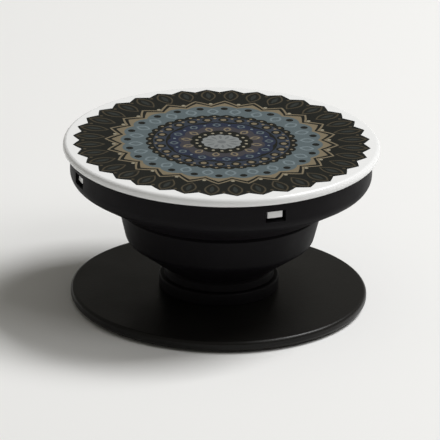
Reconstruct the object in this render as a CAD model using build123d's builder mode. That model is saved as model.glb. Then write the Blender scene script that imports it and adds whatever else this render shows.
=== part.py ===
from build123d import *
from math import sqrt
import os

# A collapsible phone grip, standing expanded on its sticky face.
# Millimetres, +Z up, with the origin at the centre of that face.
# The moulded pieces are sections in the XZ plane, revolved, and the pad is a plain disc.
# Only the tabs and windows of the snap joint break the roundness.

# Adhesive pad and the pocket that holds it
pad_thickness = 0.8
pad_recess = 0.5  # depth of the pocket under the platform
pad_clearance = 0.1  # gap round the pad in its pocket

# Platform
platform_inset = 1.25  # how far its edge stays inside the button's, which hides it when flat
platform_lip = 1.7  # width of the rim left round the pocket
platform_edge = 1.3  # thickness at the rim
platform_rise = 0.3  # how far the top face climbs from the rim to the foot's seat
platform_round = 0.5  # radius of the rim's two edges
seat_margin = 0.8  # flat ring round the accordion's foot

# Snap plug in the middle of the platform, on which the foot turns
plug_wall = 1.2
plug_lip_reach = 0.45
plug_lip_height = 0.4
plug_lead_in = 0.45  # slope on the lip that lets the foot slip over it
swivel_clearance = 0.1  # gap between the plug's stem and the foot
swivel_play = 0.1  # gap between the foot's flange and the lip above it
plug_lip_clearance = 0.25  # gap between the lip and the neck round it

# Accordion: foot, neck, lower cone, ring, upper cone and rim
foot_step = 0.65  # how far the foot stands out from the neck
foot_height = 1.7
foot_flange = 1.0  # height of the flange that the plug's lip holds down
foot_round = 0.3
neck_diameter = 14.1
neck_height = 1.3
neck_wall = 0.95
lower_cone_rise = 3.65
lower_cone_wall = 0.9
ring_lower_diameter = 24.1
ring_upper_diameter = 26.3
ring_height = 4.5
ring_wall = 1.1
ring_round = 1.2
upper_cone_rise = 3.75
upper_cone_wall = 0.9
rim_wall = 1.2
rim_round = 1.4
rim_skirt = 0.2  # plain wall between the hinge line and the snap windows
rim_bridge = 1.1  # height of the mouth above the snap windows
hinge_thickness = 0.5  # what is left of the wall at each hinge line
hinge_reach = 0.4  # how far a hinge notch runs along the walls beside it

# Button
button_diameter = 40.6
button_thickness = 1.2
button_ceiling = 1.0  # thickness over the hollow
button_overhang = 0.95  # how far the edge stands out from the accordion's rim
button_round = 0.55  # radius of the edge's two corners
round_share = 0.45  # most of a thin edge that each of its two rounds may take

# Snap ring under the button, with tabs that show in windows of the accordion's rim
snap_wall = 1.0
snap_clearance = 0.1  # gap round the ring, and above and below each tab
tab_count = 4
tab_width = 2.0
tab_height = 1.25
tab_lead_in = 0.35  # slope below each tab that lets it slip past the mouth
tab_setback = 0.35  # how far a tab's face lies behind the rim's outer face
window_margin = 0.4  # gap at each end of a tab

# Rounds that follow from the thickness of their edge
platform_edge_round = min(platform_round, round_share * platform_edge)
button_edge_round = min(button_round, round_share * button_thickness)

# Heights that follow, from the pad up to the foot of the accordion
platform_under = pad_thickness - pad_recess
seat = platform_under + platform_edge + platform_rise
foot_top = seat + foot_height
flange_top = seat + foot_flange

# Radii that follow, from the button and the neck inwards
button_radius = button_diameter / 2
platform_radius = button_radius - platform_inset
rim_radius = button_radius - button_overhang
neck_radius = neck_diameter / 2
foot_radius = neck_radius + foot_step
plug_lip_radius = neck_radius - neck_wall - plug_lip_clearance
stem_radius = plug_lip_radius - plug_lip_reach
pocket_radius = platform_radius - platform_lip


def inner_corner(corner, before, after, wall_before, wall_after):
    """Where the inner faces of two walls meet, from their outer corner and directions."""
    inward = Vector(-before.Y, before.X)
    turn = before.cross(after).Z
    slide = (wall_before * before.dot(after) - wall_after) / turn
    return corner + inward * wall_before + before * slide


def hinge_notch(corner, opposite, before, after, opposite_round=0):
    """The notch cut into a corner, down to a thin hinge at the opposite corner."""
    rounded_off = opposite_round * (sqrt(2 / (1 + before.dot(after))) - 1)
    root = opposite + (corner - opposite).normalized() * (hinge_thickness + rounded_off)
    return [corner - before * hinge_reach, root, corner + after * hinge_reach]


def round_corner(section, corner, radius):
    """Rounds the corner of a section that lies at the given point."""
    fillet(section.vertices().sort_by_distance(corner)[0], radius)


# Outer corners of the accordion and the directions of its walls
upright = Vector(0, 1)
neck_top = Vector(neck_radius, foot_top + neck_height)
ring_bottom = Vector(ring_lower_diameter / 2, neck_top.Y + lower_cone_rise)
ring_top = Vector(ring_upper_diameter / 2, ring_bottom.Y + ring_height)
rim_bottom = Vector(rim_radius, ring_top.Y + upper_cone_rise)
lower_cone = (ring_bottom - neck_top).normalized()
ring = (ring_top - ring_bottom).normalized()
upper_cone = (rim_bottom - ring_top).normalized()

# Inner corners, and the notches that make the four hinge lines
neck_inner = inner_corner(neck_top, upright, lower_cone, neck_wall, lower_cone_wall)
ring_bottom_inner = inner_corner(ring_bottom, lower_cone, ring, lower_cone_wall, ring_wall)
ring_top_inner = inner_corner(ring_top, ring, upper_cone, ring_wall, upper_cone_wall)
rim_inner = inner_corner(rim_bottom, upper_cone, upright, upper_cone_wall, rim_wall)
neck_notch = hinge_notch(neck_top, neck_inner, upright, lower_cone)
ring_bottom_notch = hinge_notch(ring_bottom_inner, ring_bottom, lower_cone, ring, ring_round)
ring_top_notch = hinge_notch(ring_top, ring_top_inner, ring, upper_cone)
rim_notch = hinge_notch(rim_inner, rim_bottom, upper_cone, upright, rim_round)

# The snap joint between the accordion's mouth and the button
window_floor = rim_inner.Y + hinge_reach + rim_skirt
window_height = tab_height + 2 * snap_clearance
window_depth = rim_wall + snap_wall  # right through the curved rim, ends of the window too
tab_bottom = window_floor + snap_clearance
tab_top = tab_bottom + tab_height
mouth = window_floor + window_height + rim_bridge
snap_radius = rim_inner.X - snap_clearance
tab_radius = rim_radius - tab_setback
button_top = mouth + button_thickness
tab_planes = [Plane.XZ.rotated((0, 0, turn * 360 / tab_count)) for turn in range(tab_count)]

with BuildPart() as adhesive_pad:
    with BuildSketch(Plane.XY):
        Circle(pocket_radius - pad_clearance)
    extrude(amount=pad_thickness)

with BuildPart() as platform:
    rim_under = Vector(platform_radius, platform_under)
    rim_upper = Vector(platform_radius, platform_under + platform_edge)
    lip_under = flange_top + swivel_play
    lip_top = lip_under + plug_lip_height
    with BuildSketch(Plane.XZ) as platform_section:
        with BuildLine():
            Polyline(
                (0, pad_thickness),
                (pocket_radius, pad_thickness),
                (pocket_radius, platform_under),
                rim_under,
                rim_upper,
                (foot_radius + seat_margin, seat),
                (stem_radius, seat),
                (stem_radius, lip_under),
                (plug_lip_radius, lip_under),
                (plug_lip_radius, lip_top),
                (plug_lip_radius - plug_lead_in, lip_top + plug_lead_in),
                (stem_radius - plug_wall, lip_top + plug_lead_in),
                (stem_radius - plug_wall, seat),
                (0, seat),
                close=True,
            )
        make_face()
        round_corner(platform_section, rim_under, platform_edge_round)
        round_corner(platform_section, rim_upper, platform_edge_round)
    revolve(axis=Axis.Z)

with BuildPart() as accordion:
    foot_corner = Vector(foot_radius, foot_top)
    with BuildSketch(Plane.XZ) as accordion_section:
        with BuildLine():
            Polyline(
                (foot_radius, seat),
                foot_corner,
                (neck_radius, foot_top),
                *neck_notch,
                ring_bottom,
                *ring_top_notch,
                rim_bottom,
                (rim_radius, mouth),
                (rim_inner.X, mouth),
                *reversed(rim_notch),
                ring_top_inner,
                *reversed(ring_bottom_notch),
                neck_inner,
                (neck_inner.X, flange_top),
                (stem_radius + swivel_clearance, flange_top),
                (stem_radius + swivel_clearance, seat),
                close=True,
            )
        make_face()
        round_corner(accordion_section, foot_corner, foot_round)
        round_corner(accordion_section, ring_bottom, ring_round)
        round_corner(accordion_section, rim_bottom, rim_round)
    revolve(axis=Axis.Z)
    with BuildSketch(*tab_planes):
        with Locations((rim_radius, window_floor)):
            window_align = (Align.CENTER, Align.MIN)
            Rectangle(2 * window_depth, window_height, align=window_align)
    extrude(amount=tab_width / 2 + window_margin, both=True, mode=Mode.SUBTRACT)

with BuildPart() as button:
    edge_top = Vector(button_radius, button_top)
    edge_under = Vector(button_radius, mouth)
    with BuildSketch(Plane.XZ) as button_section:
        with BuildLine():
            Polyline(
                (0, button_top),
                edge_top,
                edge_under,
                (snap_radius, mouth),
                (snap_radius, tab_bottom),
                (snap_radius - snap_wall, tab_bottom),
                (snap_radius - snap_wall, button_top - button_ceiling),
                (0, button_top - button_ceiling),
                close=True,
            )
        make_face()
        round_corner(button_section, edge_top, button_edge_round)
        round_corner(button_section, edge_under, button_edge_round)
    revolve(axis=Axis.Z)
    with BuildSketch(*tab_planes):
        with BuildLine():
            Polyline(
                (snap_radius - snap_wall / 2, tab_top),
                (tab_radius, tab_top),
                (tab_radius, tab_bottom + tab_lead_in),
                (snap_radius, tab_bottom),
                (snap_radius - snap_wall / 2, tab_bottom),
                close=True,
            )
        make_face()
    extrude(amount=tab_width / 2, both=True)

adhesive_pad.part.label = "adhesive_pad"
platform.part.label = "platform"
accordion.part.label = "accordion"
button.part.label = "button"

os.makedirs("parts", exist_ok=True)
export_step(adhesive_pad.part, "parts/adhesive_pad.step")
export_step(platform.part, "parts/platform.step")
export_step(accordion.part, "parts/accordion.step")
export_step(button.part, "parts/button.step")
print(f"expanded height {button_top:.2f} mm, button {button_diameter:.1f} mm across")
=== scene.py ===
# %% [markdown]
# # A collapsible grip
# This lesson dresses a small stick-on grip: a printed white button on a black folding accordion,
# which turns on a thin black platform with a sticky pad below. Pressed down it lies flat, pulled
# out it stands between two fingers. Its solids are loaded first. They fix every place and size,
# so each visible piece made here stands exactly where its solid does.

# %% Load the solids of the grip
import math

import bmesh
import bpy
from mathutils import Color, Euler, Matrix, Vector


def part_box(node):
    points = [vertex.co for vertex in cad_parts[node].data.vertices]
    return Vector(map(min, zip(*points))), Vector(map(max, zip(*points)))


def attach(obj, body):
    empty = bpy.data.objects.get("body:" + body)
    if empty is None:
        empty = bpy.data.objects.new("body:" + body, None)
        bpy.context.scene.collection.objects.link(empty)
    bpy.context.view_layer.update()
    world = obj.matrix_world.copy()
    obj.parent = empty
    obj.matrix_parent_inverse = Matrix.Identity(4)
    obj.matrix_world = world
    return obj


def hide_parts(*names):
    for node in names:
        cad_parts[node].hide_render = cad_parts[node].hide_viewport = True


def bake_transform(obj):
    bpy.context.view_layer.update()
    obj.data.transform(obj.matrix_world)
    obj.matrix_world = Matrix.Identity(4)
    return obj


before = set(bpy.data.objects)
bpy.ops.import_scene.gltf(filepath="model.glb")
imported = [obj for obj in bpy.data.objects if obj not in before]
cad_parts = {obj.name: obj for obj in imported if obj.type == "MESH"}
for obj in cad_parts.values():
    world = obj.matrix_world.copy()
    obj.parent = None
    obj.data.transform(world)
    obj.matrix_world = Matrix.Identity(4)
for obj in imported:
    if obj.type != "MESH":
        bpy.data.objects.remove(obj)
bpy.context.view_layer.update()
MM = 0.001  # the scene is in metres, the sizes of the grip are in millimetres


def box_mm(node):
    """The lowest and highest corner of a solid, in millimetres."""
    return [[value / MM for value in corner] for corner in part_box(node)]


# %% [markdown]
# ## Turned forms with soft corners
# Every moulding of the grip is round, so one outline, spun about the Z axis, gives its whole
# shape. The outline is a list of corners, each with a radius, a height and a round. No real edge
# is perfectly sharp, because no mould is. A Bevel modifier could soften the finished mesh, but it
# treats all edges alike. Here each corner has a round of its own, and becomes a short arc before
# the outline is spun.

# %% Round the corners of an outline
ARC_STEP = math.radians(10)  # the turn between two points of a rounded corner
FEWEST_ARC_STEPS = 2


def soft_outline(corners):
    """Turns (radius, height, round) corners into the points of a closed outline with arcs."""
    outline = []
    for index, (radius, height, corner_round) in enumerate(corners):
        corner = Vector((radius, height))
        if not corner_round:
            outline.append(corner)
            continue
        heading = (corner - Vector(corners[index - 1][:2])).normalized()
        leaving = (Vector(corners[(index + 1) % len(corners)][:2]) - corner).normalized()
        sweep = math.atan2(heading.cross(leaving), heading.dot(leaving))
        # The arc touches both sides of the corner, so its centre lies inside the bend
        inward = Vector((-heading.y, heading.x)) * math.copysign(1, sweep)
        set_back = corner_round * math.tan(abs(sweep) / 2)
        centre = corner - heading * set_back + inward * corner_round
        start = math.atan2(-inward.y, -inward.x)
        steps = max(FEWEST_ARC_STEPS, math.ceil(abs(sweep) / ARC_STEP))
        for step in range(steps + 1):
            angle = start + sweep * step / steps
            outline.append(centre + corner_round * Vector((math.cos(angle), math.sin(angle))))
    return outline


one_round = soft_outline([(1, 0, 0), (2, 0, 0.2), (2, 1, 0)])
print("with one round, an outline of three corners has", len(one_round), "points")

# %% [markdown]
# ## Spinning an outline
# Blender has a Screw modifier and a Spin tool for round forms. The outline is spun in mesh code
# here, because the rim of the accordion and the ring of the button are opened and raised in
# places afterwards, and then it helps to know where each column of faces lies. A corner on the
# axis becomes one vertex with a fan of triangles round it, and every other corner becomes a ring.

# %% Spin an outline into a closed mesh
COLUMNS = 360  # faces round the axis, a multiple of four


def turned(outline):
    """Spins a closed outline about Z. A point on the axis becomes one shared vertex."""
    shell = bmesh.new()
    rings = []
    for point in outline:
        ring = []
        for column in range(COLUMNS if point.x > 0 else 1):
            angle = math.tau * column / COLUMNS
            place = (point.x * math.cos(angle), point.x * math.sin(angle), point.y)
            ring.append(shell.verts.new(place))
        rings.append(ring)
    # Four-sided faces join two rings, and triangles join a ring to a single vertex
    for ring, following in zip(rings, rings[1:] + rings[:1]):
        for column in range(COLUMNS):
            ahead = column + 1
            corners = [ring[column % len(ring)], ring[ahead % len(ring)],
                       following[ahead % len(following)], following[column % len(following)]]
            distinct = list(dict.fromkeys(corners))
            if len(distinct) > 2:
                shell.faces.new(distinct)
    bmesh.ops.recalc_face_normals(shell, faces=shell.faces)
    return shell


def odd_edges(shell):
    """How many edges of a mesh don't join exactly two faces."""
    return sum(not edge.is_manifold for edge in shell.edges)


sample = turned(one_round)
print(f"spun with {COLUMNS} columns, it has {len(sample.faces)} faces, odd edges: {odd_edges(sample)}")
sample.free()

# %% [markdown]
# ## From a mesh to a piece
# On the real grip the curved walls run smoothly into each other, while the mould edges are crisp.
# Edges could be marked sharp by hand, but an angle decides it for all of them at once. Plain
# smooth shading would also bend the light on a broad flat face beside a narrow round. A Weighted
# Normal modifier stops that, because it lets large faces keep their own direction.

# %% Make a piece of the grip out of a mesh
SHARP_ANGLE = math.radians(38)  # edges that turn by more than this stay crisp


def in_scene(name, data):
    """A new object in the scene, which holds a mesh, a camera or a lamp."""
    holder = bpy.data.objects.new(name, data)
    bpy.context.scene.collection.objects.link(holder)
    return holder


def grip_piece(name, shell, node, *finishes):
    """Makes an object from a mesh in millimetres, to stand for a solid."""
    bmesh.ops.scale(shell, vec=(MM, MM, MM), verts=shell.verts)
    mesh = bpy.data.meshes.new(name)
    shell.to_mesh(mesh)
    shell.free()
    for finish in finishes:
        mesh.materials.append(finish)
    mesh.shade_smooth()
    mesh.set_sharp_from_angle(angle=SHARP_ANGLE)
    piece = in_scene(name, mesh)
    flats = piece.modifiers.new("flat faces stay flat", "WEIGHTED_NORMAL")
    flats.keep_sharp = True
    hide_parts(node)
    print(f"{name}: {len(mesh.vertices)} vertices, {len(mesh.polygons)} faces")
    return piece


print(f"edges that turn by more than {math.degrees(SHARP_ANGLE):.0f} degrees stay crisp")

# %% [markdown]
# ## Grain and handling
# Moulded plastic is never one flat colour. The mould's walls were eroded by sparks, which leaves a
# fine skin of grains, and handling changes the gloss and the tone in soft patches. A picture of
# such a skin could be wrapped round the pieces, but noise in object space needs no unwrapping and
# has the same grain everywhere. A fine noise gives the grain, a wide one the patches.

# %% Make a noise in the space of a piece
GRAIN_DETAIL = 2.0


def noise_in(tree, size_mm, detail):
    """Noise whose clouds are about size_mm across, in the space of the piece."""
    spot = tree.nodes.new("ShaderNodeTexCoord")
    noise = tree.nodes.new("ShaderNodeTexNoise")
    noise.inputs["Scale"].default_value = 1 / (size_mm * MM)
    noise.inputs["Detail"].default_value = detail
    tree.links.new(spot.outputs["Object"], noise.inputs["Vector"])
    return noise.outputs["Fac"]


print("a noise is sized in millimetres, so its grain is the same on every piece")

# %% [markdown]
# ## What a noise can change
# A noise is a number between 0 and 1 at every point. Spread over a range it varies the gloss,
# between two colours it tints the surface, and as a height it raises a fine relief. That relief
# could be real geometry, but grains a fifth of a millimetre wide would need millions of faces. A
# Bump node bends the light as they do, and leaves the mesh alone.

# %% Let a noise vary a value, tint a colour or raise a grain
NOISE_LOW, NOISE_HIGH = 0.3, 0.7  # a noise seldom leaves these values
OPAQUE = 1.0  # the fourth value of a colour


def varied(tree, source, low, high, target):
    """Feeds a shader input with a noise, spread between two values."""
    spread = tree.nodes.new("ShaderNodeMapRange")
    spread.inputs["From Min"].default_value = NOISE_LOW
    spread.inputs["From Max"].default_value = NOISE_HIGH
    spread.inputs["To Min"].default_value = low
    spread.inputs["To Max"].default_value = high
    tree.links.new(source, spread.inputs["Value"])
    tree.links.new(spread.outputs["Result"], target)


def colour_mix(tree, blend_type="MIX"):
    """A node that mixes two colours."""
    mix = tree.nodes.new("ShaderNodeMix")
    mix.data_type = "RGBA"
    mix.blend_type = blend_type
    return mix


def tinted(tree, source, dark, light, target):
    """Feeds a colour input with a noise, between two colours."""
    mix = colour_mix(tree)
    mix.inputs["A"].default_value = (*dark, OPAQUE)
    mix.inputs["B"].default_value = (*light, OPAQUE)
    tree.links.new(source, mix.inputs["Factor"])
    tree.links.new(mix.outputs["Result"], target)


def grained(tree, source, depth_mm, target):
    """Feeds the normal of a shader with a noise as fine relief."""
    relief = tree.nodes.new("ShaderNodeBump")
    relief.inputs["Distance"].default_value = depth_mm * MM
    tree.links.new(source, relief.inputs["Height"])
    tree.links.new(relief.outputs["Normal"], target)


print(f"a noise is read from {NOISE_LOW} to {NOISE_HIGH}")

# %% [markdown]
# ## Two black skins
# The accordion is a soft, dull black with a trace of violet. The platform is harder, warmer and
# glossier, and catches a pale line along its rim. They could be two node trees made by hand, but
# both are moulded plastic, so one function makes the nodes and only the numbers differ. A black
# is never quite zero: these two send back from a third of a percent to one percent of the light.

# %% Mix the two black skins
HANDLING_DETAIL = 3.0


def new_finish(name):
    """A new material, with its node tree and its shader."""
    finish = bpy.data.materials.new(name)
    finish.use_nodes = True
    return finish, finish.node_tree, finish.node_tree.nodes["Principled BSDF"]


def moulded_skin(name, dark, light, gloss, grain_mm, depth_mm, handling_mm, specular):
    """A plastic with a grained skin: gloss is its (lowest, highest) roughness."""
    skin, tree, shader = new_finish(name)
    shader.inputs["Specular IOR Level"].default_value = specular
    handling = noise_in(tree, handling_mm, HANDLING_DETAIL)
    tinted(tree, handling, dark, light, shader.inputs["Base Color"])
    varied(tree, handling, *gloss, shader.inputs["Roughness"])
    grained(tree, noise_in(tree, grain_mm, GRAIN_DETAIL), depth_mm, shader.inputs["Normal"])
    return skin


platform_skin = moulded_skin(
    "platform_semi_gloss_black", dark=(0.006, 0.0057, 0.0052), light=(0.010, 0.0094, 0.0085),
    gloss=(0.28, 0.38), grain_mm=0.25, depth_mm=0.014, handling_mm=6.0, specular=0.19)
accordion_skin = moulded_skin(
    "accordion_soft_black", dark=(0.0040, 0.0034, 0.0043), light=(0.0063, 0.0054, 0.0067),
    gloss=(0.46, 0.58), grain_mm=0.2, depth_mm=0.018, handling_mm=4.0, specular=0.10)
print("skins:", platform_skin.name, accordion_skin.name)

# %% [markdown]
# ## The platform
# The platform is the thin disc at the bottom, which stays where it is stuck while the rest turns.
# Its top climbs a little from a rounded rim to a flat seat, a shallow pocket below holds the pad,
# and a hooked plug in the middle holds the foot of the accordion. It could be cut from a cylinder
# with bevels, but an outline says all of this at once, and its outer sizes are read from the
# solid.

# %% Turn the platform
EDGE_BREAK = 0.08  # the small round that a mould leaves on an outer edge
PLATFORM_ROUND = 0.5
PLATFORM_EDGE = 1.3
POCKET_DEPTH = 0.5
POCKET_LIP = 1.7
SEAT_MARGIN = 0.8
FOOT_RADIUS = 7.7
PLUG_STEM, PLUG_BORE, PLUG_HOOK = 5.4, 4.2, 5.85  # radii
PLUG_LEAD_IN, PLUG_HOOK_HEIGHT = 0.45, 0.4

platform_low, platform_high = box_mm("platform")
accordion_low, accordion_high = box_mm("accordion")
platform_radius, platform_under = platform_high[0], platform_low[2]
pocket_radius = platform_radius - POCKET_LIP
pocket_top = platform_under + POCKET_DEPTH
seat = accordion_low[2]
plug_top = platform_high[2]
hook_top = plug_top - PLUG_LEAD_IN
hook_under = hook_top - PLUG_HOOK_HEIGHT
platform_outline = soft_outline([
    (0, pocket_top, 0),
    (pocket_radius, pocket_top, 0),
    (pocket_radius, platform_under, EDGE_BREAK),
    (platform_radius, platform_under, PLATFORM_ROUND),
    (platform_radius, platform_under + PLATFORM_EDGE, PLATFORM_ROUND),
    (FOOT_RADIUS + SEAT_MARGIN, seat, 0),
    (PLUG_STEM, seat, 0),
    (PLUG_STEM, hook_under, 0),
    (PLUG_HOOK, hook_under, 0),
    (PLUG_HOOK, hook_top, EDGE_BREAK),
    (PLUG_HOOK - PLUG_LEAD_IN, plug_top, EDGE_BREAK),
    (PLUG_BORE, plug_top, EDGE_BREAK),
    (PLUG_BORE, seat, 0),
    (0, seat, 0),
])
swivel_platform = grip_piece("swivel_platform", turned(platform_outline), "platform", platform_skin)
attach(swivel_platform, "platform")
print(f"platform {2 * platform_radius:.1f} mm across, {PLATFORM_EDGE:.1f} mm thick at its rim")

# %% [markdown]
# ## The sticky pad
# Under the platform sits a round pad of dark gel, sticky on both faces. Only its edge shows above
# the ground, and its lower face when the grip is seen from below. A plain disc would look cut
# from card, so its edges are a little round and its finish has small dimples and wet-looking
# patches.

# %% Make the tacky finish and the pad
PAD_ROUND = 0.12

tacky_gel = moulded_skin(
    "tacky_dark_gel", dark=(0.018, 0.018, 0.02), light=(0.03, 0.03, 0.033),
    gloss=(0.25, 0.6), grain_mm=0.6, depth_mm=0.06, handling_mm=5.0, specular=0.4)
pad_low, pad_high = box_mm("adhesive_pad")
pad_outline = soft_outline([
    (0, pad_low[2], 0),
    (pad_high[0], pad_low[2], PAD_ROUND),
    (pad_high[0], pad_high[2], PAD_ROUND),
    (0, pad_high[2], 0),
])
sticky_pad = grip_piece("sticky_pad", turned(pad_outline), "adhesive_pad", tacky_gel)
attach(sticky_pad, "platform")
print(f"pad {2 * pad_high[0]:.1f} mm across, {pad_high[2] - pad_low[2]:.1f} mm thick")

# %% [markdown]
# ## The folding accordion
# The accordion is one soft moulding: a foot, a short neck, a lower cone, a nearly upright ring, an
# upper cone and a rim. Between them run thin hinge lines, grooves cut from the side that closes
# when it folds. A stack of separate cones would show seams, while one outline keeps the walls
# whole. Only the outer corners are written down. The inner ones follow from the thickness of the
# walls, and a groove is three points in place of one corner.

# %% Rules for inner corners and hinge grooves
HINGE_THICKNESS = 0.5
HINGE_REACH = 0.4
GROOVE_ROUND = 0.1


def inner_corner(corner, before, after, wall_before, wall_after):
    """Where the inner faces of two walls meet, from their outer corner and directions."""
    inward = Vector((-before.y, before.x))
    slide = (wall_before * before.dot(after) - wall_after) / before.cross(after)
    return corner + inward * wall_before + before * slide


def hinge_groove(corner, opposite, before, after, opposite_round=0.0, lip_round=GROOVE_ROUND):
    """The corners of a groove that leaves a thin hinge at the opposite corner."""
    # A rounded corner lies further in than a sharp one, and the hinge starts from there
    rounded_off = opposite_round * (math.sqrt(2 / (1 + before.dot(after))) - 1)
    root = opposite + (corner - opposite).normalized() * (HINGE_THICKNESS + rounded_off)
    return [(*(corner - before * HINGE_REACH), lip_round), (*root, GROOVE_ROUND),
            (*(corner + after * HINGE_REACH), GROOVE_ROUND)]


print(f"each groove leaves a hinge of {HINGE_THICKNESS} mm")

# %% [markdown]
# ## The walls from the neck to the rim
# From its neck the moulding leans out in a cone, stands nearly upright in the ring, and leans out
# again to the rim. The corners could be typed in one by one. Heights that build on each other are
# safer, because the walls stay joined when one of them changes. The seat of the foot, the rim and
# the mouth are read from the solid.

# %% Find the corners of the accordion
NECK_RADIUS, FOOT_HEIGHT, NECK_HEIGHT = 7.05, 1.7, 1.3
RING_LOWER_RADIUS, RING_UPPER_RADIUS, RING_HEIGHT = 12.05, 13.15, 4.5
LOWER_CONE_RISE, UPPER_CONE_RISE = 3.65, 3.75
NECK_WALL, CONE_WALL, RING_WALL, RIM_WALL = 0.95, 0.9, 1.1, 1.2

rim_radius, mouth = accordion_high[0], accordion_high[2]
upright = Vector((0, 1))
foot_top = seat + FOOT_HEIGHT
neck_top = Vector((NECK_RADIUS, foot_top + NECK_HEIGHT))
ring_bottom = Vector((RING_LOWER_RADIUS, neck_top.y + LOWER_CONE_RISE))
ring_top = Vector((RING_UPPER_RADIUS, ring_bottom.y + RING_HEIGHT))
rim_bottom = Vector((rim_radius, ring_top.y + UPPER_CONE_RISE))
lower_cone = (ring_bottom - neck_top).normalized()
ring_wall = (ring_top - ring_bottom).normalized()
upper_cone = (rim_bottom - ring_top).normalized()
neck_inner = inner_corner(neck_top, upright, lower_cone, NECK_WALL, CONE_WALL)
ring_bottom_inner = inner_corner(ring_bottom, lower_cone, ring_wall, CONE_WALL, RING_WALL)
ring_top_inner = inner_corner(ring_top, ring_wall, upper_cone, RING_WALL, CONE_WALL)
rim_inner = inner_corner(rim_bottom, upper_cone, upright, CONE_WALL, RIM_WALL)
print(f"the accordion opens from {2 * NECK_RADIUS:.1f} to {2 * rim_radius:.1f} mm across")

# %% [markdown]
# ## The outline of the accordion
# The outline runs up the outer side, over the mouth and down the inner side to the foot, whose
# flange fits round the stem of the plug with a small gap. A Solidify modifier could thicken a
# single line, but the walls, the hinges and the flange differ in thickness, so both sides are
# drawn. Extra points on the rim mark the floor and the top of the windows that come next.

# %% Turn the accordion
RING_ROUND, RIM_ROUND, FOOT_ROUND = 1.2, 1.4, 0.3
NECK_LIP_ROUND = 0.3  # the neck's upper edge, which shows as a pale line
FOOT_FLANGE = 1.0
SWIVEL_CLEARANCE = 0.1
RIM_SKIRT = 0.2
RIM_BRIDGE = 1.1

window_floor = rim_inner.y + HINGE_REACH + RIM_SKIRT
window_top = mouth - RIM_BRIDGE
flange_top = seat + FOOT_FLANGE
flange_bore = PLUG_STEM + SWIVEL_CLEARANCE
accordion_outline = soft_outline([
    (FOOT_RADIUS, seat, EDGE_BREAK),
    (FOOT_RADIUS, foot_top, FOOT_ROUND),
    (NECK_RADIUS, foot_top, EDGE_BREAK),
    *hinge_groove(neck_top, neck_inner, upright, lower_cone, lip_round=NECK_LIP_ROUND),
    (*ring_bottom, RING_ROUND),
    *hinge_groove(ring_top, ring_top_inner, ring_wall, upper_cone),
    (*rim_bottom, RIM_ROUND),
    (rim_radius, window_floor, 0),
    (rim_radius, window_top, 0),
    (rim_radius, mouth, EDGE_BREAK),
    (rim_inner.x, mouth, EDGE_BREAK),
    (rim_inner.x, window_top, 0),
    (rim_inner.x, window_floor, 0),
    *reversed(hinge_groove(rim_inner, rim_bottom, upper_cone, upright, RIM_ROUND)),
    (*ring_top_inner, GROOVE_ROUND),
    *reversed(hinge_groove(ring_bottom_inner, ring_bottom, lower_cone, ring_wall, RING_ROUND)),
    (*neck_inner, GROOVE_ROUND),
    (neck_inner.x, flange_top, 0),
    (flange_bore, flange_top, 0),
    (flange_bore, seat, 0),
])
accordion_shell = turned(accordion_outline)
print("the outline of the accordion has", len(accordion_outline), "points")

# %% [markdown]
# ## Snap windows in the rim
# Four small windows in the rim show the tabs that hold the button. A Boolean modifier could cut
# them, but it leaves odd triangles in a smooth wall. The outline already has a point at the floor
# and at the top of the windows, so a window is a few whole faces: they are deleted in the outer
# and the inner wall, and the two holes are bridged.

# %% Open the snap windows
SNAP_TURNS = [0.0, 0.25, 0.5, 0.75]  # places of the tabs, in turns
WINDOW_COLUMNS = 4  # columns of faces on each side of the middle of a window


def faces_about(shell, snap_turn, half_columns, low, high, nearest, furthest):
    """The faces of a turned wall beside one place, between two heights and two radii."""
    found = []
    for face in shell.faces:
        middle = face.calc_center_median()
        turns_off = math.atan2(middle.y, middle.x) / math.tau - snap_turn
        columns_off = abs(turns_off - round(turns_off)) * COLUMNS
        radius = math.hypot(middle.x, middle.y)
        if columns_off < half_columns and low < middle.z < high and nearest < radius < furthest:
            found.append(face)
    return found


for snap_turn in SNAP_TURNS:
    panes = faces_about(accordion_shell, snap_turn, WINDOW_COLUMNS, window_floor, window_top,
                        rim_inner.x - EDGE_BREAK, rim_radius)
    bmesh.ops.delete(accordion_shell, geom=panes, context="FACES")
    window_edges = [edge for edge in accordion_shell.edges if edge.is_boundary]
    bmesh.ops.bridge_loops(accordion_shell, edges=window_edges)
bmesh.ops.recalc_face_normals(accordion_shell, faces=accordion_shell.faces)
print(len(SNAP_TURNS), "windows opened, odd edges:", odd_edges(accordion_shell))

# %% [markdown]
# ## The accordion as a piece
# When the grip folds, the foot stays on the platform and the rim goes down with the button, so the
# moulding between them follows both and its cones turn over. Here the accordion becomes one piece
# in its soft black skin, and its place is baked into its mesh.

folding_accordion = grip_piece("folding_accordion", accordion_shell, "accordion", accordion_skin)
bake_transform(folding_accordion)

# %% [markdown]
# ## White gloss plastic
# The button is a hard, white, glossy moulding. White plastic in a scene is never pure white: a
# base colour near 0.85 keeps room for its highlights. One even colour would look like paper, so
# the same skin as on the black pieces is mixed once more, with less relief: its polish is uneven
# by a hair, and a faint waviness bends the reflections.

# %% Mix the white plastic
WHITE = (0.86, 0.865, 0.865)
WHITE_SHADE = (0.83, 0.835, 0.84)

button_white = moulded_skin(
    "button_gloss_white", dark=WHITE_SHADE, light=WHITE,
    gloss=(0.20, 0.28), grain_mm=1.2, depth_mm=0.004, handling_mm=7.0, specular=0.5)
print("white plastic:", button_white.name)

# %% [markdown]
# ## The print on the button
# The top carries a round ornament of rings, petals, dots and beads in charcoal, grey blue, navy
# and sand. A picture could be mapped onto it, but formulas stay sharp at any distance. In nodes, a
# formula is a chain of Math nodes, which soon gets hard to follow. A small class lets the rules be
# written as ordinary arithmetic, and adds one Math node for each step.

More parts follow.
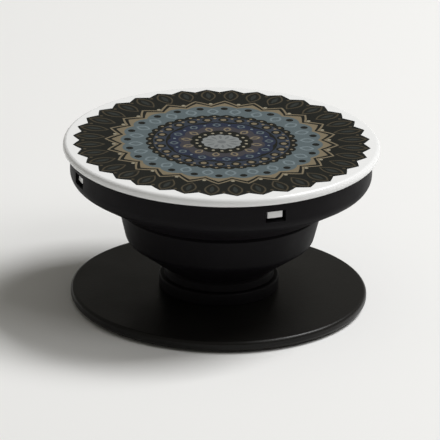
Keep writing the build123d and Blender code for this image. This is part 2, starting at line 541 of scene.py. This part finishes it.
# %% A stencil that adds Math nodes
class Stencil:
    """A number at every point of the button's top, carried by a node."""

    def __init__(self, tree, socket):
        self.tree = tree
        self.socket = socket

    def by(self, operation, *others):
        """This number and others through one Math node."""
        step = self.tree.nodes.new("ShaderNodeMath")
        step.operation = operation
        for socket, value in zip(step.inputs, (self, *others)):
            if isinstance(value, Stencil):
                self.tree.links.new(value.socket, socket)
            else:
                socket.default_value = value
        return Stencil(self.tree, step.outputs["Value"])

    def __add__(self, other):
        return self.by("ADD", other)

    def __sub__(self, other):
        return self.by("SUBTRACT", other)

    def __mul__(self, other):
        return self.by("MULTIPLY", other)

    def __abs__(self):
        return self.by("ABSOLUTE")

    def below(self, other):
        """1 where this number is the smaller one, 0 elsewhere."""
        return self.by("LESS_THAN", other)


print("a stencil can add, subtract, multiply and compare")

# %% [markdown]
# ## Reach and turn
# A round ornament is simplest in two numbers: how far a point lies from the axis, and how far
# round it lies. A radial Gradient texture gives a turn too, but no distance in millimetres. Here
# both come from the X and Y of the piece itself, so the print keeps its size and stays on the
# button when it moves.

# %% Measure the reach and the turn
button_print, print_tree, print_shader = new_finish("button_printed_top")
print_spot = print_tree.nodes.new("ShaderNodeTexCoord")
print_axes = print_tree.nodes.new("ShaderNodeSeparateXYZ")
print_tree.links.new(print_spot.outputs["Object"], print_axes.inputs["Vector"])
east = Stencil(print_tree, print_axes.outputs["X"]) * (1 / MM)
north = Stencil(print_tree, print_axes.outputs["Y"]) * (1 / MM)
reach = (east * east + north * north).by("SQRT")
turn = north.by("ARCTAN2", east) * (1 / math.tau)
print("the print has a reach in millimetres and a turn from -0.5 to 0.5")

# %% [markdown]
# ## Motifs of the print
# With the reach and the turn, a motif is a short formula. The turn is cut into equal sectors, and
# the place across a sector, from -0.5 to 0.5, repeats as often as the motif does. A dot is a
# distance from a point in each sector, a petal is a width that shrinks to both ends, and scallops
# and points are edges whose reach depends on the place across.

# %% Write the motifs
def across(count, shift=0.0):
    """The place across each of count equal sectors."""
    return (turn * count + shift).by("FRACT") - 0.5


def disc(edge):
    """All inside a circle."""
    return reach.below(edge)


def dots(count, middle, size, shift=0.0):
    """Round dots on a circle, size across."""
    aside = across(count, shift) * (math.tau * middle / count)
    outward = reach - middle
    return (aside * aside + outward * outward).below((size / 2) ** 2)


def petals(count, root, tip, width, shift=0.0):
    """Leaves pointed at both ends, from root to tip."""
    share = (reach - root) * (2 / (tip - root)) - 1  # -1 at the root, 1 at the tip
    half_width = share * share * (-width / 2) + width / 2
    aside = abs(across(count, shift)) * (math.pi * (root + tip) / count)
    return aside.below(half_width)


def scallops(count, valley, crown, shift=0.0):
    """All inside a line of arcs."""
    aside = across(count, shift)
    return reach.below(aside * aside * (4 * (valley - crown)) + crown)


def points(count, valley, tip, shift=0.0):
    """All inside a line of straight-sided points."""
    return reach.below(abs(across(count, shift)) * (2 * (valley - tip)) + tip)


print("motifs: discs, dots, petals, scallops and points")

# %% [markdown]
# ## The inks
# The print has a dark border, a band of sand, blue rings and a pale middle, all a little muted, as
# ink on plastic is. The colours could be typed in as the linear values that a shader mixes, but
# these are hard to picture. They are given as the eye reads them on a screen, from 0 to 255, and
# turned into linear values here.

# %% Mix the inks
SCREEN_WHITE = 255


def ink(red, green, blue):
    """The linear colour of an ink that is given in screen values."""
    on_screen = Color([value / SCREEN_WHITE for value in (red, green, blue)])
    return (*on_screen.from_srgb_to_scene_linear(), OPAQUE)


CHARCOAL = ink(20, 22, 19)
SLATE = ink(45, 49, 47)
UMBER = ink(72, 65, 51)
SAND = ink(126, 115, 94)
CREAM = ink(156, 149, 129)
GREY_BLUE = ink(92, 104, 108)
PALE_BLUE = ink(118, 131, 136)
NAVY = ink(38, 45, 66)
DUSK = ink(51, 58, 70)
MAUVE = ink(64, 62, 67)
PALE_GREY = ink(134, 138, 138)
SOFT_GREY = ink(112, 116, 117)
print("sand, as the shader takes it:", [round(value, 3) for value in SAND[:3]])

# %% [markdown]
# ## Rings from the edge to the middle
# The rings are drawn from the outside in, and an inner field simply covers what is under it. Each
# ring could be cut out exactly, but then it would have to know its neighbours. Each row below is
# an ink and a motif: how many there are round the circle, then reaches and widths in millimetres.
# The first field, a circle of points, is the outline of the whole print.

# %% Draw the outer rings
BETWEEN = 0.5  # shifts a motif by half a sector, so it stands between two others

whole_print = points(36, 18.2, 19.1)
leaf_border = [
    (CHARCOAL, whole_print),
    (UMBER, petals(36, 14.9, 18.75, 1.95)),
    (CHARCOAL, petals(36, 15.2, 18.45, 1.5)),
    (SLATE, petals(36, 15.8, 17.9, 0.6)),
    (UMBER, dots(36, 17.75, 0.45, BETWEEN)),
]
pointed_band = [
    (SAND, points(24, 13.5, 15.0)),
    (CHARCOAL, points(24, 13.1, 14.7)),
    (SAND, points(24, 12.75, 14.1)),
    (CREAM, dots(24, 13.85, 0.5, BETWEEN)),
]
blue_ring = [
    (GREY_BLUE, scallops(24, 12.35, 12.95)),
    (PALE_BLUE, petals(24, 10.0, 12.0, 1.5, BETWEEN)),
    (GREY_BLUE, petals(24, 10.35, 11.7, 0.9, BETWEEN)),
    (CHARCOAL, dots(24, 12.05, 0.95)),
]
print("outer motifs:", len(leaf_border), len(pointed_band), len(blue_ring))

# %% [markdown]
# ## Beads and a pale middle
# Towards the middle the circles get shorter, so the inner rings have fewer and smaller motifs. A
# bead could have a formula of its own, but a light dot on a dark one already looks like a bead
# with an outline. A small petal on a larger one leaves an outlined leaf in the same way.

# %% Draw the inner rings
bead_ring = [
    (CHARCOAL, scallops(36, 9.35, 9.75)),
    (SAND, dots(36, 9.2, 0.4)),
    (DUSK, disc(8.75)),
    (CHARCOAL, dots(24, 7.95, 1.35)),
    (SAND, dots(24, 7.95, 0.75)),
    (SAND, dots(24, 8.45, 0.42, BETWEEN)),
]
navy_ring = [
    (CHARCOAL, disc(7.15)),
    (NAVY, scallops(12, 6.55, 6.95)),
    (GREY_BLUE, petals(12, 5.5, 6.7, 1.1)),
    (NAVY, petals(12, 5.75, 6.45, 0.55)),
    (PALE_BLUE, dots(12, 6.1, 0.36, BETWEEN)),
]
mauve_ring = [
    (MAUVE, scallops(12, 5.1, 5.6, BETWEEN)),
    (SAND, petals(12, 3.8, 5.3, 1.0, BETWEEN)),
    (MAUVE, petals(12, 4.1, 5.0, 0.5, BETWEEN)),
]
pale_middle = [
    (CHARCOAL, scallops(12, 3.75, 4.05)),
    (CREAM, dots(18, 3.2, 0.42)),
    (PALE_GREY, scallops(12, 2.35, 2.6)),
    (SOFT_GREY, petals(12, 0.95, 2.25, 0.38)),
    (SOFT_GREY, disc(0.55)),
]
print("inner motifs:", len(bead_ring), len(navy_ring), len(mauve_ring), len(pale_middle))

# %% [markdown]
# ## One ink over another
# On a press, each ink covers the ones before it. A Mix node does the same: its factor is a motif,
# 1 where the ink lies and 0 elsewhere, so it swaps the colour so far for the new ink. Adding the
# inks up would need motifs that never overlap. A chain of mixes, which starts from the white of
# the button, ends in the colour of the whole print.

# %% Lay the inks over each other
print_rings = [leaf_border, pointed_band, blue_ring, bead_ring, navy_ring, mauve_ring, pale_middle]
tone_socket = None
for motifs in print_rings:
    for colour, motif in motifs:
        layer = colour_mix(print_tree)
        layer.inputs["A"].default_value = (*WHITE, OPAQUE)
        layer.inputs["B"].default_value = colour
        if tone_socket:
            print_tree.links.new(tone_socket, layer.inputs["A"])
        print_tree.links.new(motif.socket, layer.inputs["Factor"])
        tone_socket = layer.outputs["Result"]
print("the inks take", len(print_tree.nodes), "nodes")

# %% [markdown]
# ## How the ink takes the light
# Ink dries a little duller than the bare plastic, and never covers quite evenly. The ink and the
# bare edge could be two materials, but then the points of the border would have to be cut into
# the mesh. One material with a mask of the whole print is simpler: where there is ink, it raises
# the roughness and lets a fine noise change the tone by some percent.

# %% Finish the printed top
INK_ROUGHNESS, BARE_ROUGHNESS = 0.36, 0.24
INK_SPECULAR = 0.18
INK_GRAIN = 0.35
INK_LIGHT, INK_DEEP = (1.0, 1.0, 1.0), (0.86, 0.86, 0.86)

print_shader.inputs["Specular IOR Level"].default_value = INK_SPECULAR
roughness = whole_print * (INK_ROUGHNESS - BARE_ROUGHNESS) + BARE_ROUGHNESS
print_tree.links.new(roughness.socket, print_shader.inputs["Roughness"])
cover = colour_mix(print_tree, "MULTIPLY")
print_tree.links.new(whole_print.socket, cover.inputs["Factor"])
print_tree.links.new(tone_socket, cover.inputs["A"])
ink_grain = noise_in(print_tree, INK_GRAIN, GRAIN_DETAIL)
tinted(print_tree, ink_grain, INK_DEEP, INK_LIGHT, cover.inputs["B"])
print_tree.links.new(cover.outputs["Result"], print_shader.inputs["Base Color"])
print("printed top:", button_print.name)

# %% [markdown]
# ## The button
# The button is a shallow cap with a rounded edge, and a ring below it that snaps into the mouth of
# the accordion. It could be a cylinder with a bevel and a second one joined on, but then the cap
# would be solid plastic. Its outline is spun like the others, so it has its real hollow, and a
# point on the ring marks the top of the tabs that come next.

# %% Turn the button
BUTTON_ROUND = 0.54
CEILING_THICKNESS = 1.0
SNAP_WALL = 1.0
SNAP_CLEARANCE = 0.1
TAB_HEIGHT = 1.25

button_low, button_high = box_mm("button")
button_radius, button_top, tab_bottom = button_high[0], button_high[2], button_low[2]
snap_radius = rim_inner.x - SNAP_CLEARANCE
tab_top = tab_bottom + TAB_HEIGHT
ceiling = button_top - CEILING_THICKNESS
button_outline = soft_outline([
    (0, button_top, 0),
    (button_radius, button_top, BUTTON_ROUND),
    (button_radius, mouth, BUTTON_ROUND),
    (snap_radius, mouth, 0),
    (snap_radius, tab_top, 0),
    (snap_radius, tab_bottom, 0),
    (snap_radius - SNAP_WALL, tab_bottom, EDGE_BREAK),
    (snap_radius - SNAP_WALL, ceiling, 0),
    (0, ceiling, 0),
])
button_shell = turned(button_outline)
print("the outline of the button has", len(button_outline), "points")

# %% [markdown]
# ## Tabs that snap
# Four hooked tabs stand out from the ring and show in the windows. They could be small blocks
# pushed into the ring, but then faces would be hidden inside the plastic. A patch of the ring's
# own wall is extruded instead, moved outward, and its lower edge is lifted to give the slope that
# lets a tab slip in.

# %% Raise the tabs
TAB_COLUMNS = 3  # columns of faces on each side of the middle of a tab
TAB_LEAD_IN = 0.35
TAB_SETBACK = 0.35
WALL_TOLERANCE = 0.02

tab_middle = (tab_bottom + tab_top) / 2
stretch = (rim_radius - TAB_SETBACK) / snap_radius
for snap_turn in SNAP_TURNS:
    patch = faces_about(button_shell, snap_turn, TAB_COLUMNS, tab_bottom, tab_top,
                        snap_radius - WALL_TOLERANCE, snap_radius)
    raised = bmesh.ops.extrude_face_region(button_shell, geom=patch)["geom"]
    bmesh.ops.delete(button_shell, geom=patch, context="FACES")
    for vertex in (item for item in raised if isinstance(item, bmesh.types.BMVert)):
        lift = TAB_LEAD_IN if vertex.co.z < tab_middle else 0
        vertex.co = (vertex.co.x * stretch, vertex.co.y * stretch, vertex.co.z + lift)
bmesh.ops.recalc_face_normals(button_shell, faces=button_shell.faces)
print(len(SNAP_TURNS), "tabs raised, odd edges:", odd_edges(button_shell))

# %% [markdown]
# ## The same mesh on every run
# On the real button the tabs are part of the moulding, and each copy from the mould is alike. In a
# mesh, an extrude can add edges and faces in another order each time. The sides of the tabs could
# be made face by face instead, but a sort by place is shorter and gives one fixed order.

# %% Put the edges and faces of the button in order
def corner_places(part):
    """Where the corners of an edge or a face lie, listed in a fixed order."""
    return sorted(vertex.co[:] for vertex in part.verts)


for parts in (button_shell.edges, button_shell.faces):
    for rank, part in enumerate(sorted(parts, key=corner_places)):
        part.index = rank
    parts.sort()
print("the button has", len(button_shell.faces), "faces, in order of their place")

# %% [markdown]
# ## Where the print lies
# Only the flat top is printed, and the rounded edge stays white. The print could be a thin disc of
# its own just above the top, but the real one is only ink. So the mesh gets two materials: faces
# of the cap that point straight up take the printed finish, and all others the white one.

# %% Print the flat top and seat the button
FLAT_TOP = 0.99  # a face whose normal points up by at least this much is flat

cap_middle = ceiling + CEILING_THICKNESS / 2
for face in button_shell.faces:
    on_cap = face.calc_center_median().z > cap_middle
    face.material_index = int(on_cap and face.normal.z > FLAT_TOP)
printed_button = grip_piece("printed_button", button_shell, "button", button_white, button_print)
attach(printed_button, "button")
print(f"button {2 * button_radius:.1f} mm across, its top {button_top:.1f} mm above the ground")

# %% [markdown]
# ## The camera
# The grip is seen from a little above, at about 22 degrees, from nearly a metre away. A camera
# close by would need no long lens, but it would make the front look swollen. From further off the
# forms stay natural, and the lens brings the small part close. The camera is placed on a sphere
# about the middle of the grip, turned to it, and rolled by a degree, as one in the hand is.

# %% Place the camera
VIEW_AZIMUTH, VIEW_ELEVATION, VIEW_ROLL = -111.3, 21.5, 1.2  # degrees
VIEW_DISTANCE = 0.9
VIEW_WIDTH = 0.0565  # metres of the scene that the frame takes in, at the grip

grip_middle = Vector((0, 0, button_top / 2 * MM))


def away(azimuth, elevation):
    """The direction from the grip at two angles in degrees. An azimuth of 0 is +X, 90 is +Y."""
    bearing, height = math.radians(azimuth), math.radians(elevation)
    level = math.cos(height)
    return Vector((math.cos(bearing) * level, math.sin(bearing) * level, math.sin(height)))


camera_data = bpy.data.cameras.new("view_camera")
camera_data.lens = camera_data.sensor_width * VIEW_DISTANCE / VIEW_WIDTH
view_camera = in_scene("view_camera", camera_data)
bpy.context.scene.camera = view_camera
towards_camera = away(VIEW_AZIMUTH, VIEW_ELEVATION)
view_camera.location = grip_middle + towards_camera * VIEW_DISTANCE
facing = towards_camera.to_track_quat("Z", "Y")
roll = Euler((0, 0, math.radians(VIEW_ROLL))).to_quaternion()
view_camera.rotation_euler = (facing @ roll).to_euler()
print(f"camera lens {camera_data.lens:.0f} mm")

# %% [markdown]
# ## The floor
# A pale floor carries the shadow and lights the underside of the grip a little. A curved backdrop
# would hide the horizon, but from this angle the floor fills the view anyway, so one large square
# of dull paint is enough.

# %% Lay the floor
FLOOR_HALF = 3.0
FLOOR_PALE = (0.86, 0.86, 0.855, OPAQUE)
FLOOR_ROUGHNESS = 0.9
FLOOR_SPECULAR = 0.1

floor_mesh = bpy.data.meshes.new("pale_floor")
floor_corners = [(-FLOOR_HALF, -FLOOR_HALF, 0), (FLOOR_HALF, -FLOOR_HALF, 0),
                 (FLOOR_HALF, FLOOR_HALF, 0), (-FLOOR_HALF, FLOOR_HALF, 0)]
floor_mesh.from_pydata(floor_corners, [], [(0, 1, 2, 3)])
floor_paint, _, floor_shader = new_finish("floor_pale_paint")
floor_shader.inputs["Base Color"].default_value = FLOOR_PALE
floor_shader.inputs["Roughness"].default_value = FLOOR_ROUGHNESS
floor_shader.inputs["Specular IOR Level"].default_value = FLOOR_SPECULAR
floor_mesh.materials.append(floor_paint)
pale_floor = in_scene("pale_floor", floor_mesh)
print(f"floor {2 * FLOOR_HALF:.0f} m wide")

# %% [markdown]
# ## The room
# Gloss shows what is around it. The room here is dim and even, brighter overhead, and pale again
# at the horizon, where a low view looks past the floor. A picture of a studio could stand in for
# it, but a few tones on a ramp, from the horizon up, are plain and easy to adjust.

# %% Light the room
ROOM_TONES = [(0.0, 0.6), (0.05, 0.45), (0.14, 0.14), (0.55, 0.15), (1.0, 0.28)]  # (height, tone)
ROOM_GREEN, ROOM_BLUE = 0.97, 0.88  # shares of red, for a slightly warm light

room = bpy.data.worlds.new("dim_room")
room.use_nodes = True
bpy.context.scene.world = room
room_tree = room.node_tree
gaze = room_tree.nodes.new("ShaderNodeTexCoord")
gaze_axes = room_tree.nodes.new("ShaderNodeSeparateXYZ")
room_ramp = room_tree.nodes.new("ShaderNodeValToRGB")
room_tree.links.new(gaze.outputs["Generated"], gaze_axes.inputs["Vector"])
room_tree.links.new(gaze_axes.outputs["Z"], room_ramp.inputs["Fac"])
room_tree.links.new(room_ramp.outputs["Color"], room_tree.nodes["Background"].inputs["Color"])
stops = room_ramp.color_ramp.elements
stops[0].position, stops[1].position = ROOM_TONES[0][0], ROOM_TONES[-1][0]
for height, _ in ROOM_TONES[1:-1]:
    stops.new(height)
for stop, (_, tone) in zip(stops, ROOM_TONES):
    stop.color = (tone, tone * ROOM_GREEN, tone * ROOM_BLUE, OPAQUE)
print("the room has", len(stops), "tones from the horizon up")

# %% [markdown]
# ## The lamps
# A soft lamp stands to the right and a little behind, so the shadow falls to the left and towards
# the viewer, and the left of the button's edge turns grey. A weaker one at the front right opens
# up the near side. A sun lamp would be quicker, but its shadow has a hard edge, while a square
# lamp gives a soft one. Both are kept at a level where a colour comes out about as it is written.

# %% Set the lamps
def soft_lamp(name, azimuth, elevation, distance, size, power):
    """A square lamp that faces the grip, placed by the same angles as the camera."""
    lamp_data = bpy.data.lights.new(name, "AREA")
    lamp_data.size = size
    lamp_data.energy = power
    lamp = in_scene(name, lamp_data)
    towards_lamp = away(azimuth, elevation)
    lamp.location = grip_middle + towards_lamp * distance
    lamp.rotation_euler = towards_lamp.to_track_quat("Z", "Y").to_euler()
    return lamp


key_lamp = soft_lamp("key_lamp", azimuth=0, elevation=57, distance=0.7, size=0.26, power=4.1)
side_lamp = soft_lamp("side_lamp", azimuth=-48, elevation=48, distance=0.9, size=0.4, power=1.5)
print("lamps:", key_lamp.name, side_lamp.name)

# %% [markdown]
# ## Colours as written
# Blender's usual view bends tones as film does, which suits bright scenes but dulls a white
# button. The Standard view shows a colour as its material gives it.

# %% Set the view
bpy.context.scene.view_settings.view_transform = "Standard"
